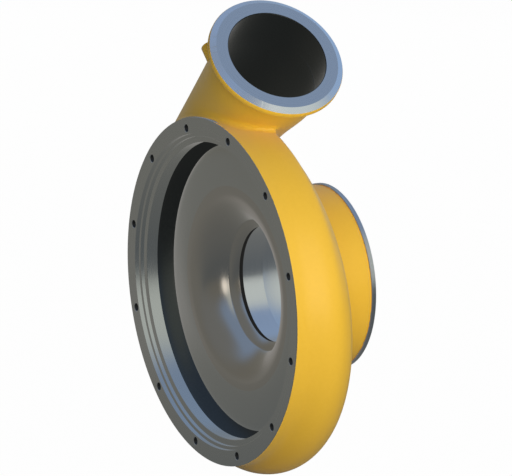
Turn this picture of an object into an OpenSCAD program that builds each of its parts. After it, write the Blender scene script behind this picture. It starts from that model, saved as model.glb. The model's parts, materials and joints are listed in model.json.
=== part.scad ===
// Compressor housing of a turbocharger: one aluminium casting with machined joint faces.
// The shaft axis is Y. The flange face lies at y = 0 and looks towards -Y, the air enters from +Y,
// and +Z is up. The origin is the middle of the flange face.

/* [Joint flange] */

// Outer diameter of the joint flange
flange_d = 350; // [340:1:360]
// Depth of the turned band behind the flange face
band_depth = 47; // [44:0.5:50]
// Distance of the bolt circle from the flange's edge
bolt_edge = 10; // [9:0.5:12]
// Number of bolt holes
bolt_count = 12; // [8:1:16]
// Diameter of one bolt hole
bolt_hole_d = 8; // [5:0.5:9]
// Depth of one bolt hole
bolt_hole_depth = 16; // [10:0.5:17]
// Angle of the first bolt hole above +X
bolt_start = 18.3; // [0:0.1:30]

/* [Pilot bore] */

// Width of the flange's face
face_w = 16.2; // [15.5:0.1:17.5]
// Depth of the outer step
step_depth = 4.5; // [3:0.1:6]
// Width of the outer step's ledge
step_w = 3.3; // [2:0.1:4]
// Depth of the middle step
mid_step_depth = 8.4; // [7:0.1:10]
// Width of the middle step's ledge
mid_step_w = 6; // [4:0.1:7]
// Depth at which the pilot bore opens into the volute
pilot_depth = 20.5; // [19.5:0.1:21.5]

/* [Diffuser wall and wheel contour] */

// Depth of the flat diffuser wall
wall_depth = 29; // [28:0.1:30]
// Gap between the pilot bore and the wall's outer edge, where the air enters the volute
mouth_w = 5.1; // [4:0.1:7]
// How far the wall falls back towards its outer edge
nose_drop = 8.5; // [7:0.1:9.5]
// Radial width of the flat land between the wall's slope and the wheel contour
flat_w = 6; // [3:0.5:10]
// Radial width of the round of the wheel contour
contour_w = 31; // [27:0.5:33]
// Depth of the round of the wheel contour
contour_h = 22; // [19:0.5:24]
// Straight length of the wheel throat
throat_len = 4.8; // [4:0.1:7]
// Radial step from the throat in to the eye
throat_step = 8.4; // [6:0.1:10]
// Length of the cone from the throat to the slot
cone_h = 8; // [6:0.1:10]

/* [Recirculation slot and inlet] */

// Diameter of the bore in front of the slot
eye_d = 115.2; // [112:0.2:118]
// Width of the slot
slot_w = 4.5; // [3:0.1:6]
// How much wider the inner ring's bore is on the radius than the bore in front of the slot
ring_relief = 1; // [0.5:0.1:2]
// Wall of the inner ring
ring_wall = 5.5; // [4:0.1:6.5]
// Length of the inner ring behind the slot
ring_len = 22.7; // [18:0.1:27]
// Radial width of the recirculation chamber
chamber_w = 15.9; // [13:0.1:17]
// Wall of the casting round the recirculation chamber
chamber_wall = 12; // [11:0.1:14]
// Number of ribs that hold the inner ring
rib_count = 4; // [3:1:6]
// Thickness of one rib
rib_t = 6; // [4:0.5:8]
// Wall of the inlet tube
inlet_wall = 8; // [6.5:0.1:9]
// Height of the machined rim at the inlet above the tube
rim_rise = 1.1; // [0.7:0.1:2]
// Width of the machined rim
rim_w = 4.7; // [3:0.1:7]
// Length of the inlet tube behind the inner ring
inlet_len = 45; // [38:0.5:52]

/* [Volute] */

// Radius of the skin where the volute begins
skin_start_r = 4.8; // [4:0.1:6]
// Radius of the skin where the volute turns into the outlet pipe
skin_end_r = 46.5; // [44:0.1:48]
// Distance of the skin's front from the flange face
skin_front = 9.6; // [8.5:0.1:10.5]
// Distance of the volute's centre line, at its end, outside the pilot bore
centre_out = 2.3; // [1:0.1:3.5]
// Wall of the volute
volute_wall = 6; // [5:0.1:6.5]

/* [Outlet] */

// Direction of the outlet above +X
outlet_angle = 48.3; // [46:0.1:50]
// How far the outlet's axis lies nearer to the shaft than the volute's centre line
outlet_shift = 15.2; // [13:0.1:18]
// Distance of the outlet's face along its own direction
outlet_reach = 204.2; // [198:0.1:212]
// Wall of the outlet round its bore
outlet_wall = 6.9; // [6:0.1:9]
// Straight length of the outlet bore
outlet_bore_len = 36; // [30:0.5:40]
// Outer diameter of the pipe under the outlet flange
pipe_d = 116; // [114:0.5:118]
// How far the outlet flange stands out from the pipe
outlet_lip = 12.1; // [10:0.1:14]
// Radial width of the chamfer round the outlet's face
chamfer_w = 6.4; // [5:0.1:8]
// Depth of the chamfer round the face
outlet_chamfer = 5.1; // [3:0.1:6]
// Thickness of the outlet flange
outlet_flange_t = 10; // [8:0.1:13]

/* [Sensing boss] */

// Diameter of the boss on the pipe
boss_d = 16; // [12:0.5:18]
// How far the boss's end lies inside the pipe's outer radius
boss_below = 5; // [2:0.5:8]
// Distance of the boss from the outlet face
boss_back = 46; // [42:0.5:50]
// Distance of the boss's axis from the side of the pipe
boss_in = 20; // [18:0.5:24]

/* [Hidden] */

$fn = 72;
eps = 0.5;

cast_yellow = [0.93, 0.69, 0.18];

// Radii of the turned flange side, from the edge inwards.
flange_r = flange_d / 2;
bolt_circle_r = flange_r - bolt_edge;
step_r = flange_r - face_w;
mid_step_r = step_r - step_w;
pilot_r = mid_step_r - mid_step_w;
nose_r = pilot_r - mouth_w;

// Radii of the inlet side, from the eye outwards.
eye_r = eye_d / 2;
ring_r = eye_r + ring_relief;
ring_outer_r = ring_r + ring_wall;
chamber_r = ring_outer_r + chamber_w;
inlet_r = chamber_r + chamber_wall;
inlet_bore_r = inlet_r - inlet_wall;
rim_r = inlet_r + rim_rise;
throat_r = eye_r + throat_step;
contour_r = throat_r + contour_w;
flat_r = contour_r + flat_w;

// Depths along the shaft, from the flange face backwards.
throat_depth = wall_depth + contour_h;
cone_depth = throat_depth + throat_len;
slot_depth = cone_depth + cone_h;
slot_end = slot_depth + slot_w;
ring_end = slot_end + ring_len;
inlet_end = ring_end + inlet_len;

// The plate that carries the diffuser wall, and the back wall of the casting.
flat_step = 1;
edge_t = 2.5;
edge_depth = wall_depth + flat_step + nose_drop;
plate_back = edge_depth + edge_t;
web_t = 12;
web_back = wall_depth + web_t;
web_fillet = 8;

// The volute runs clockwise seen from the flange: from its start angle all the way round.
end_angle = outlet_angle + 90;
turn = 360;
centre_r = pilot_r + centre_out;
centre_lead = 8;
centre_power = 4;
skin_middle = skin_front + skin_end_r;

// Share of the turn at which the skin and the passage may start without meeting the outlet pipe.
skin_start = 0.17;
passage_start = 0.16;

// Facets round and along the volute: as few as keep it smooth.
skin_sides = 28;
passage_sides = 24;
angle_step = 6.5;
pipe_steps = 8;

// The pipe widens and moves towards its final axis over this share of its reach.
outlet_dir = [cos(outlet_angle), 0, sin(outlet_angle)];
outlet_side = [-sin(outlet_angle), 0, cos(outlet_angle)];
outlet_offset = centre_r - outlet_shift;
pipe_r = pipe_d / 2;
outlet_bore_r = pipe_r - outlet_wall;
outlet_flange_r = pipe_r + outlet_lip;
outlet_face_r = outlet_flange_r - chamfer_w;
flare_end = outlet_reach * 0.774;
flare_power = 2.6;

// The passage keeps clear of the flange over this length of the pipe, then turns round.
front_keep = 90;
front_fade = 0.5;

// Round shoulder between the flange's band and the volute.
hump_in = 1.8;
hump_r = centre_r - hump_in;
hump_behind = 8;
hump_depth = band_depth + hump_behind;
hump_round = 9;
hump_spread = 1.6;

// Small rounds, leads and reliefs.
edge_round = 2.5;
face_chamfer = 0.4;
rim_groove = 0.8;
groove_w = 2.4;
groove_lead = 0.6;
rim_round = 0.6;
lead_in = 1;
mouth_relief = 2.2;
mouth_back = 2;
cone_round = 3;
cone_lip = 0.7;
cone_lip_depth = 0.4;
overlap = 1;
chamber_slope = 7;
bore_slope = 8;
mouth_lead = 2.5;
rib_front = 4;
outlet_neck = 4;
neck_step = 0.9;
bore_ledge = 0.6;

// Quarter of an ellipse as profile points: from start to start + turn, centre at c, half axes a and b.
function arc_points(c, a, b, from, to, n) =
    [for (i = [0:n]) let (w = from + (to - from) * i / n) [c[0] + a * cos(w), c[1] + b * sin(w)]];

// Radius of the volute's skin after a share s of the turn: it grows with the root of the share,
// so that the passage gains the same area in each degree.
function skin_r(s) = skin_start_r + (skin_end_r - skin_start_r) * sqrt(s);

// Radius of the volute's centre line after a share s of the turn.
function line_r(s) = centre_r - centre_lead * pow(1 - s, centre_power);

// Depth of the volute's centre line: the front of the skin keeps its distance from the flange face.
function line_depth(s) = skin_front + skin_r(s);

// Share of the pipe's widening at a distance t along the pipe.
function flare(t) = pow(min(1, max(0, t) / flare_end), flare_power);

// Point at radius r and depth d, seen at an angle above +X.
function round_point(w, r, d) = [r * cos(w), d, r * sin(w)];

// Point on the pipe: p across from the shaft axis, t along the outlet, d the depth.
function pipe_point(p, t, d) = p * outlet_side + t * outlet_dir + [0, d, 0];

// Ring of the skin in the turn.
function turn_ring(s, r, sides) =
    [for (i = [0:sides - 1]) let (v = 360 * i / sides)
        round_point(end_angle - turn * s, line_r(s) + r * cos(v), line_depth(s) + r * sin(v))];

// Ring of the skin along the pipe.
function pipe_centre(t) = centre_r - outlet_shift * flare(t);
function pipe_skin(t) = skin_end_r + (pipe_r - skin_end_r) * flare(t);
function pipe_ring(t, sides) =
    [for (i = [0:sides - 1]) let (v = 360 * i / sides)
        pipe_point(pipe_centre(t) + pipe_skin(t) * cos(v), t, skin_middle + pipe_skin(t) * sin(v))];

// How far a ray from the passage's centre runs before it meets a wall. The circle is cut flat in front
// by the flange, and inside by the plate that carries the diffuser wall.
function to_front(depth, dy, front) = dy < -0.001 ? (depth - front) / -dy : 1000;
function to_plate(r, depth, dx, dy, nose, back) =
    dx > -0.001 ? 1000
    : let (a = (r - nose) / -dx) depth + a * dy < back ? a
    : dy < -0.001 ? (depth - back) / -dy : 1000;
function passage_ray(r, depth, rho, v, front, nose, back) =
    min(rho, to_front(depth, sin(v), front), to_plate(r, depth, cos(v), sin(v), nose, back));

function turn_passage(s) =
    let (r = line_r(s), depth = line_depth(s), rho = skin_r(s) - volute_wall)
    [for (i = [0:passage_sides - 1]) let (v = 360 * (i + 0.5) / passage_sides,
        q = passage_ray(r, depth, rho, v, pilot_depth, nose_r, plate_back))
        round_point(end_angle - turn * s, r + q * cos(v), depth + q * sin(v))];

function passage_r(t) = skin_end_r - volute_wall
    + (outlet_bore_r - bore_ledge - skin_end_r + volute_wall) * flare(t);
function front_at(t) = pilot_depth - front_fade * max(0, t - front_keep);
function nose_at(t) = sqrt(max(0, nose_r * nose_r - t * t));
function pipe_passage(t) =
    let (r = pipe_centre(t), rho = passage_r(t))
    [for (i = [0:passage_sides - 1]) let (v = 360 * (i + 0.5) / passage_sides,
        q = passage_ray(r, skin_middle, rho, v, front_at(t), nose_at(t), plate_back))
        pipe_point(r + q * cos(v), t, skin_middle + q * sin(v))];

// Tube through a row of rings, closed at both ends.
module tube(rings) {
    n = len(rings);
    m = len(rings[0]);
    points = [for (ring = rings) each ring];
    sides = [for (i = [0:n - 2], j = [0:m - 1], k = [0, 1])
        let (a = i * m + j, b = i * m + (j + 1) % m)
        k == 0 ? [a, b, b + m] : [a, b + m, a + m]];
    first = [for (j = [m - 1:-1:0]) j];
    last = [for (j = [0:m - 1]) (n - 1) * m + j];
    polyhedron(points, concat(sides, [first, last]), convexity = 6);
}

// Solid turned about the shaft axis, from a profile of radius and depth.
module turned(profile) {
    rotate([-90, 0, 0])
        rotate_extrude($fn = 120)
            polygon(profile);
}

// Flange band, back wall and inlet tube, as one turned shape.
module turned_body() {
    rim_depth = inlet_end - rim_w;
    hump_side = arc_points([hump_r, hump_depth - hump_round], hump_round * hump_spread, hump_round,
        60, 160, 8);
    web_arc = arc_points([inlet_r + web_fillet, web_back + web_fillet], web_fillet, web_fillet, 270, 180, 8);
    band_arc = arc_points([flange_r - edge_round, band_depth - edge_round], edge_round, edge_round, 0, 70, 5);
    turned(concat(
        [[0, 0], [flange_r - face_chamfer, 0], [flange_r, face_chamfer]],
        band_arc,
        hump_side,
        [[hump_r - hump_round * 3, web_back]],
        web_arc,
        [[inlet_r, rim_depth - groove_w - groove_lead], [inlet_r - rim_groove, rim_depth - groove_w],
            [inlet_r - rim_groove, rim_depth], [rim_r, rim_depth],
            [rim_r, inlet_end - rim_round], [rim_r - rim_round, inlet_end], [0, inlet_end]]
    ));
}

// Volute and outlet pipe: the sections grow round the turn and run out along the outlet.
module skin() {
    steps = ceil(turn * (1 - skin_start) / angle_step);
    pipe_end = outlet_reach - outlet_flange_t / 2;
    tube(concat(
        [for (i = [0:steps]) let (s = skin_start + (1 - skin_start) * i / steps)
            turn_ring(s, skin_r(s), skin_sides)],
        [for (i = [1:pipe_steps]) pipe_ring(pipe_end * i / pipe_steps, skin_sides)]
    ));
}

// Turns its children so that +Z points out of the outlet, with the outlet face at height zero.
module at_outlet() {
    translate(outlet_offset * outlet_side + outlet_reach * outlet_dir + [0, skin_middle, 0])
        rotate([0, 90 - outlet_angle, 0])
            children();
}

// Machined flange at the end of the pipe.
module outlet_flange() {
    back = -outlet_flange_t;
    at_outlet()
        rotate_extrude($fn = 96)
            polygon([[0, 0], [outlet_face_r, 0], [outlet_flange_r, -outlet_chamfer],
                [outlet_flange_r, back + lead_in], [outlet_flange_r - lead_in, back],
                [pipe_r + outlet_neck, back], [pipe_r + neck_step, back - outlet_neck],
                [0, back - outlet_neck]]);
}

// Small cylindrical boss that stands on the pipe, away from the shaft axis.
module boss() {
    at_outlet()
        translate([0, boss_in - pipe_r, -boss_back])
            rotate([0, -90, 0])
                cylinder(d = boss_d, h = pipe_r - boss_below, $fn = 32);
}

// Everything that is turned out of the casting from the flange side and from the inlet.
module turned_cavity() {
    relief_r = pilot_r + mouth_relief;
    relief_back = plate_back - mouth_back;
    wall_arc = arc_points([flat_r, edge_depth], nose_r - flat_r, nose_drop, 360, 270, 8);
    contour_arc = arc_points([contour_r, throat_depth], contour_w, contour_h, 270, 180, 10);
    turned(concat(
        [[0, -eps], [step_r + lead_in, -eps], [step_r, lead_in - eps], [step_r, step_depth],
            [mid_step_r, step_depth], [mid_step_r, mid_step_depth],
            [pilot_r, mid_step_depth], [pilot_r, pilot_depth],
            [relief_r, pilot_depth], [relief_r, relief_back], [nose_r, relief_back]],
        wall_arc,
        [[flat_r, wall_depth]],
        contour_arc,
        [[throat_r, cone_depth - cone_round], [throat_r - cone_lip, cone_depth - cone_lip_depth],
            [eye_r, slot_depth], [eye_r, slot_end], [ring_r, slot_end], [ring_r, inlet_end + eps],
            [0, inlet_end + eps]]
    ));
}

// Slot, recirculation chamber and the wide bore of the inlet tube, all round the inner ring.
module inlet_cavity() {
    difference() {
        turned([[eye_r - overlap, slot_depth], [ring_outer_r, slot_depth],
            [chamber_r, slot_depth + chamber_slope], [chamber_r, ring_end],
            [inlet_bore_r, ring_end + bore_slope], [inlet_bore_r, inlet_end - mouth_lead],
            [inlet_bore_r + mouth_lead, inlet_end + eps], [ring_r - overlap, inlet_end + eps],
            [ring_r - overlap, ring_end], [ring_outer_r - lead_in, ring_end],
            [ring_outer_r, ring_end - lead_in], [ring_outer_r, slot_end], [eye_r - overlap, slot_end]]);
        for (i = [0:rib_count - 1])
            rotate([0, 45 + i * 360 / rib_count, 0])
                translate([ring_outer_r - overlap, slot_end, -rib_t / 2])
                    cube([chamber_w + 2 * overlap, ring_len - rib_front, rib_t]);
    }
}

// Passage from the mouth of the diffuser round to the outlet.
module passage() {
    steps = ceil(turn * (1 - passage_start) / angle_step);
    pipe_end = outlet_reach - outlet_bore_len + 2 * overlap;
    tube(concat(
        [for (i = [0:steps]) turn_passage(passage_start + (1 - passage_start) * i / steps)],
        [for (i = [1:pipe_steps]) pipe_passage(pipe_end * i / pipe_steps)]
    ));
}

module bolt_holes() {
    for (i = [0:bolt_count - 1])
        rotate([0, -bolt_start - i * 360 / bolt_count, 0])
            translate([bolt_circle_r, -eps, 0])
                rotate([-90, 0, 0])
                    cylinder(d = bolt_hole_d, h = bolt_hole_depth + eps, $fn = 24);
}

module outlet_bore() {
    at_outlet()
        translate([0, 0, -outlet_bore_len])
            cylinder(r = outlet_bore_r, h = outlet_bore_len + eps, $fn = 96);
}

module housing() {
    color(cast_yellow)
        difference() {
            union() {
                turned_body();
                skin();
                outlet_flange();
                boss();
            }
            turned_cavity();
            inlet_cavity();
            passage();
            outlet_bore();
            bolt_holes();
        }
}

housing();
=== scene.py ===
import json
import math

import bmesh
import bpy
import numpy as np
from mathutils import Matrix, Vector


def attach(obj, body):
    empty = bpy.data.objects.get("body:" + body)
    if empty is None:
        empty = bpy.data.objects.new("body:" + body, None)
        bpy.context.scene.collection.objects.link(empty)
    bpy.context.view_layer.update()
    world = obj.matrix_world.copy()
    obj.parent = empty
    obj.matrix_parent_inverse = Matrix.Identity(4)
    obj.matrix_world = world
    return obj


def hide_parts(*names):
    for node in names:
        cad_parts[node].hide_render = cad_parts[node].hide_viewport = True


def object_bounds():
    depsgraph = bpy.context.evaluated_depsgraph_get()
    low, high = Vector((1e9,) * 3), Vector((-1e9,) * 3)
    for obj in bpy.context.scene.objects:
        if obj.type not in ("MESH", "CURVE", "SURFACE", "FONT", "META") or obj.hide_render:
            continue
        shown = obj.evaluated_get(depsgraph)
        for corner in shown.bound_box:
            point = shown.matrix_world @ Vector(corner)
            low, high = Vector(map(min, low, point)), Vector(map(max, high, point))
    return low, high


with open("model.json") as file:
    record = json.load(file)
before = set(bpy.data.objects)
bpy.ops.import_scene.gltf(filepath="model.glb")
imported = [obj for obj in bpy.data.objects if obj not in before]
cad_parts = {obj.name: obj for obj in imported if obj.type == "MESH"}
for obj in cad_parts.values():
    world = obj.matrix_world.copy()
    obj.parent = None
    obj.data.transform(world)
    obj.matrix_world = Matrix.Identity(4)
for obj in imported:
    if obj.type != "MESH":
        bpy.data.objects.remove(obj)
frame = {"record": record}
cad_box = [list(corner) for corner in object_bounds()]
mounts = {mount["name"]: mount for mount in frame["record"]["mounts"]}


# The raw casting: aluminium poured in a sand mould in one piece, with the flange's band in front, the
# volute growing round it, the outlet pipe leaving at its end and the inlet tube behind. Soft unions
# between simple turned shapes and swept circles give the fillets that the mould has.
FLANGE_R, FACING_STOCK = 0.175, 0.004
BAND_DEPTH, BAND_ROUND = 0.047, 0.0022
SHOULDER_R, SHOULDER_DEPTH, SHOULDER_SIZE, SHOULDER_STRETCH = 0.150, 0.046, 0.009, 1.6
WEB_R, WEB_BACK, WEB_ROUND = 0.152, 0.041, 0.002
INLET_R, INLET_END = 0.092, 0.136
TUBE_MIDDLE, TUBE_HALF, TUBE_ROUND = 0.067, 0.066, 0.001
OUTLET_AXIS = np.array(mounts["outlet_bore"]["axis"])
OUTLET_SIDE = np.array([-OUTLET_AXIS[2], 0.0, OUTLET_AXIS[0]])
END_ANGLE = math.atan2(OUTLET_AXIS[2], OUTLET_AXIS[0]) + math.pi / 2
SKIN_START, SKIN_END, SKIN_FRONT = 0.0048, 0.0465, 0.0096
MIDDLE = SKIN_FRONT + SKIN_END
LINE_R, LINE_LEAD = 0.1518, 0.008
SCROLL_FROM, NOWHERE = 0.1, 0.05
OUTLET_OFFSET, OUTLET_REACH = 0.1366, 0.2042
PIPE_R, PIPE_SHORT = 0.058, 0.006
FLARE_END, FLARE_POWER, FLARE_EASE = 0.774 * OUTLET_REACH, 2.6, 0.55
LIP_R, LIP_T = 0.0701, 0.0100
LIP_CAST_BELOW, LIP_CAST_INSIDE, LIP_CAST_HALF, LIP_CAST_ROUND = 0.0080, 0.0035, 0.0018, 0.001
SHOULDER_FILLET, TUBE_FILLET, BAND_FILLET, NECK_FILLET = 0.006, 0.022, 0.02, 0.004
SCROLL_FILLET, PIPE_FILLET_GAIN, PIPE_FILLET_RUN = 0.0045, 0.0055, 0.06
NECK_FROM = 0.13


def skin_r(share):
    """Outer radius of the volute's tube at a share of its turn."""
    return SKIN_START + (SKIN_END - SKIN_START) * np.sqrt(np.clip(share, 0, 1))


def line_r(share):
    """Distance from the shaft to the middle of the volute's tube."""
    return LINE_R - LINE_LEAD * (1 - share) ** 4


def flare(along):
    """How far the outlet pipe has opened, from 0 at its root to 1 at its full size."""
    opened = np.clip(along / FLARE_END, 0, 2) ** FLARE_POWER
    near_end = np.maximum(FLARE_EASE - np.abs(opened - 1), 0) / FLARE_EASE
    return np.minimum(opened, 1) - near_end ** 3 * FLARE_EASE / 6


def soft_union(a, b, width):
    h = np.clip(1 - np.abs(a - b) / width, 0, 1)
    return np.minimum(a, b) - h * h * width / 4


def rounded_slab(a, b, half_a, half_b, edge):
    """Distance to a rectangle of the given half sizes with rounded corners."""
    da, db = np.abs(a) - half_a + edge, np.abs(b) - half_b + edge
    return np.hypot(np.maximum(da, 0), np.maximum(db, 0)) + np.minimum(np.maximum(da, db), 0) - edge


def casting_distance(x, y, z):
    r = np.hypot(x, z)
    share = np.mod(END_ANGLE - np.arctan2(z, x), 2 * np.pi) / (2 * np.pi)
    band = rounded_slab(r, y - (BAND_DEPTH - FACING_STOCK) / 2, FLANGE_R,
                        (BAND_DEPTH + FACING_STOCK) / 2, BAND_ROUND)
    shoulder = np.hypot((r - SHOULDER_R) / SHOULDER_STRETCH, y - SHOULDER_DEPTH) - SHOULDER_SIZE
    web = rounded_slab(r, y - WEB_BACK / 2, WEB_R, WEB_BACK / 2, WEB_ROUND)
    tube = rounded_slab(r, y - TUBE_MIDDLE, INLET_R, TUBE_HALF, TUBE_ROUND)
    back = soft_union(web, tube, TUBE_FILLET)
    scroll = np.hypot(r - line_r(share), y - SKIN_FRONT - skin_r(share)) - skin_r(share)
    scroll = np.where(share < SCROLL_FROM, NOWHERE, scroll)
    across = x * OUTLET_SIDE[0] + z * OUTLET_SIDE[2]
    along = x * OUTLET_AXIS[0] + z * OUTLET_AXIS[2]
    centre = LINE_R + (OUTLET_OFFSET - LINE_R) * flare(along)
    radius = SKIN_END + (PIPE_R - SKIN_END) * flare(along)
    pipe = np.hypot(across - centre, y - MIDDLE) - radius
    pipe = np.where(along < 0, NOWHERE, np.maximum(pipe, along - OUTLET_REACH + PIPE_SHORT))
    lip = rounded_slab(np.hypot(across - OUTLET_OFFSET, y - MIDDLE), along - OUTLET_REACH + LIP_CAST_BELOW,
                       LIP_R - LIP_CAST_INSIDE, LIP_CAST_HALF, LIP_CAST_ROUND)
    body = soft_union(soft_union(band, shoulder, SHOULDER_FILLET), back, BAND_FILLET)
    fillet = SCROLL_FILLET + PIPE_FILLET_GAIN * np.clip(along / PIPE_FILLET_RUN, 0, 1)
    body = soft_union(body, np.minimum(scroll, pipe), fillet)
    return np.where(along > NECK_FROM, np.minimum(body, soft_union(pipe, lip, NECK_FILLET)), body)


def surface_net(distance, low, high, cell):
    """Closed mesh of quads on the zero level of a distance, each point drawn onto the level."""
    axes = [np.arange(a, b + cell, cell) for a, b in zip(low, high)]
    value = distance(*np.meshgrid(*axes, indexing="ij"))
    inside = value < 0
    shape = np.array(value.shape) - 1
    corners = [(i, j, k) for i in (0, 1) for j in (0, 1) for k in (0, 1)]
    count = np.zeros(shape, int)
    for i, j, k in corners:
        count += inside[i:i + shape[0], j:j + shape[1], k:k + shape[2]]
    mixed = (count > 0) & (count < 8)
    number = np.full(shape, -1)
    number[mixed] = np.arange(mixed.sum())
    cells = np.argwhere(mixed)
    total, weight = np.zeros((len(cells), 3)), np.zeros(len(cells))
    for a in corners:
        for axis in range(3):
            if a[axis]:
                continue
            step = np.eye(3, dtype=int)[axis]
            near, far = cells + np.array(a), cells + np.array(a) + step
            d0 = value[tuple(near.T)]
            d1 = value[tuple(far.T)]
            cross = (d0 < 0) != (d1 < 0)
            part = d0[cross] / (d0[cross] - d1[cross])
            total[cross] += near[cross] + part[:, None] * step
            weight[cross] += 1
    points = np.array(low) + cell * total / weight[:, None]
    quads = []
    for axis in range(3):
        u, v = (axis + 1) % 3, (axis + 2) % 3
        first, second = [slice(None)] * 3, [slice(None)] * 3
        first[axis], second[axis] = slice(0, -1), slice(1, None)
        a, b = inside[tuple(first)], inside[tuple(second)]
        for flip, hits in ((False, a & ~b), (True, ~a & b)):
            edge = np.argwhere(hits)
            ring = []
            for du, dv in ((-1, -1), (0, -1), (0, 0), (-1, 0)):
                c = edge.copy()
                c[:, u] += du
                c[:, v] += dv
                ring.append(number[tuple(c.T)])
            quad = np.stack(ring, 1)
            quads.append(quad[:, ::-1] if flip else quad)
    probe, passes, flattest = cell * 0.02, 4, 0.3
    for _ in range(passes):
        x, y, z = points.T
        slope = np.stack([distance(x + probe, y, z) - distance(x - probe, y, z),
                          distance(x, y + probe, z) - distance(x, y - probe, z),
                          distance(x, y, z + probe) - distance(x, y, z - probe)], 1) / (2 * probe)
        step = distance(x, y, z) / np.maximum((slope * slope).sum(1), flattest)
        points = points - slope * np.clip(step, -cell, cell)[:, None]
    return points, np.concatenate(quads)


# The casting's finishes: yellow enamel is sprayed on the cast skin, and the mould's grain shows faintly
# through it. The turned metal stays bare and keeps the tool's fine rings.
def grain_group():
    group = bpy.data.node_groups.new("surface grain", "ShaderNodeTree")
    socket = group.interface.new_socket
    socket("Vector", in_out="INPUT", socket_type="NodeSocketVector")
    for name, value in (("Size", 300.0), ("Depth", 0.1), ("Rings", 0.0)):
        socket(name, in_out="INPUT", socket_type="NodeSocketFloat").default_value = value
    socket("Mask", in_out="OUTPUT", socket_type="NodeSocketFloat")
    socket("Normal", in_out="OUTPUT", socket_type="NodeSocketVector")
    node, link = group.nodes.new, group.links.new
    into, out = node("NodeGroupInput"), node("NodeGroupOutput")
    split = node("ShaderNodeSeparateXYZ")
    flat = node("ShaderNodeCombineXYZ")
    radius = node("ShaderNodeVectorMath")
    radius.operation = "LENGTH"
    turned_place = node("ShaderNodeCombineXYZ")
    choose = node("ShaderNodeMix")
    choose.data_type = "VECTOR"
    noise, bump = node("ShaderNodeTexNoise"), node("ShaderNodeBump")
    noise.inputs["Detail"].default_value = 4.0
    bump.inputs["Distance"].default_value = 0.0004
    link(into.outputs["Vector"], split.inputs[0])
    link(split.outputs["X"], flat.inputs["X"])
    link(split.outputs["Z"], flat.inputs["Z"])
    link(flat.outputs[0], radius.inputs[0])
    link(radius.outputs["Value"], turned_place.inputs["X"])
    link(split.outputs["Y"], turned_place.inputs["Y"])
    link(into.outputs["Rings"], choose.inputs["Factor"])
    link(into.outputs["Vector"], choose.inputs[4])
    link(turned_place.outputs[0], choose.inputs[5])
    link(choose.outputs[1], noise.inputs["Vector"])
    link(into.outputs["Size"], noise.inputs["Scale"])
    link(into.outputs["Depth"], bump.inputs["Strength"])
    link(noise.outputs["Fac"], bump.inputs["Height"])
    link(noise.outputs["Fac"], out.inputs["Mask"])
    link(bump.outputs["Normal"], out.inputs["Normal"])
    return group


grain = grain_group()


def finish_with_grain(name, dark, light, roughness, metallic, size, depth, rings, place=None):
    """Material whose colour and roughness drift between two values with the grain."""
    material = bpy.data.materials.new(name)
    material.use_nodes = True
    node, link = material.node_tree.nodes.new, material.node_tree.links.new
    shader = material.node_tree.nodes["Principled BSDF"]
    shader.inputs["Metallic"].default_value = metallic
    where = node("ShaderNodeTexCoord")
    vector = where.outputs["Object"]
    if place is not None:
        mapping = node("ShaderNodeMapping")
        mapping.vector_type = "TEXTURE"
        mapping.inputs["Location"].default_value = place[0]
        mapping.inputs["Rotation"].default_value = place[1]
        link(vector, mapping.inputs["Vector"])
        vector = mapping.outputs["Vector"]
    marks = node("ShaderNodeGroup")
    marks.node_tree = grain
    for key, value in (("Size", size), ("Depth", depth), ("Rings", rings)):
        marks.inputs[key].default_value = value
    tone = node("ShaderNodeMix")
    tone.data_type = "RGBA"
    tone.inputs[6].default_value = (*dark, 1)
    tone.inputs[7].default_value = (*light, 1)
    gloss = node("ShaderNodeMapRange")
    gloss.inputs["From Min"].default_value = 0.3
    gloss.inputs["From Max"].default_value = 0.7
    gloss.inputs["To Min"].default_value = roughness[0]
    gloss.inputs["To Max"].default_value = roughness[1]
    link(vector, marks.inputs["Vector"])
    link(marks.outputs["Mask"], tone.inputs["Factor"])
    link(marks.outputs["Mask"], gloss.inputs["Value"])
    link(tone.outputs[2], shader.inputs["Base Color"])
    link(gloss.outputs["Result"], shader.inputs["Roughness"])
    link(marks.outputs["Normal"], shader.inputs["Normal"])
    return material


enamel = finish_with_grain("yellow enamel", (0.85, 0.495, 0.034), (0.89, 0.530, 0.044),
                           (0.29, 0.37), metallic=0.0, size=260.0, depth=0.03, rings=0.0)


def mesh_object(name, points, faces, material):
    mesh = bpy.data.meshes.new(name)
    mesh.from_pydata([tuple(p) for p in points], [], [tuple(f) for f in faces])
    mesh.materials.append(material)
    mesh.update()
    item = bpy.data.objects.new(name, mesh)
    bpy.context.scene.collection.objects.link(item)
    return item


CELL = 0.0028
MOULD_LOW, MOULD_HIGH = (-0.212, -0.020, -0.206), (0.190, 0.146, 0.300)
points, quads = surface_net(casting_distance, MOULD_LOW, MOULD_HIGH, CELL)
casting = mesh_object("housing_casting", points, quads, enamel)


# The flange side: faced, bored in steps for the bearing housing's pilot, and contoured close round the
# wheel down to the slot, all in one setting on a lathe. It is bare turned aluminium.
turned = finish_with_grain("turned aluminium", (0.495, 0.500, 0.485), (0.508, 0.513, 0.498),
                           (0.25, 0.28), metallic=1.0, size=420.0, depth=0.003, rings=1.0)


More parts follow.
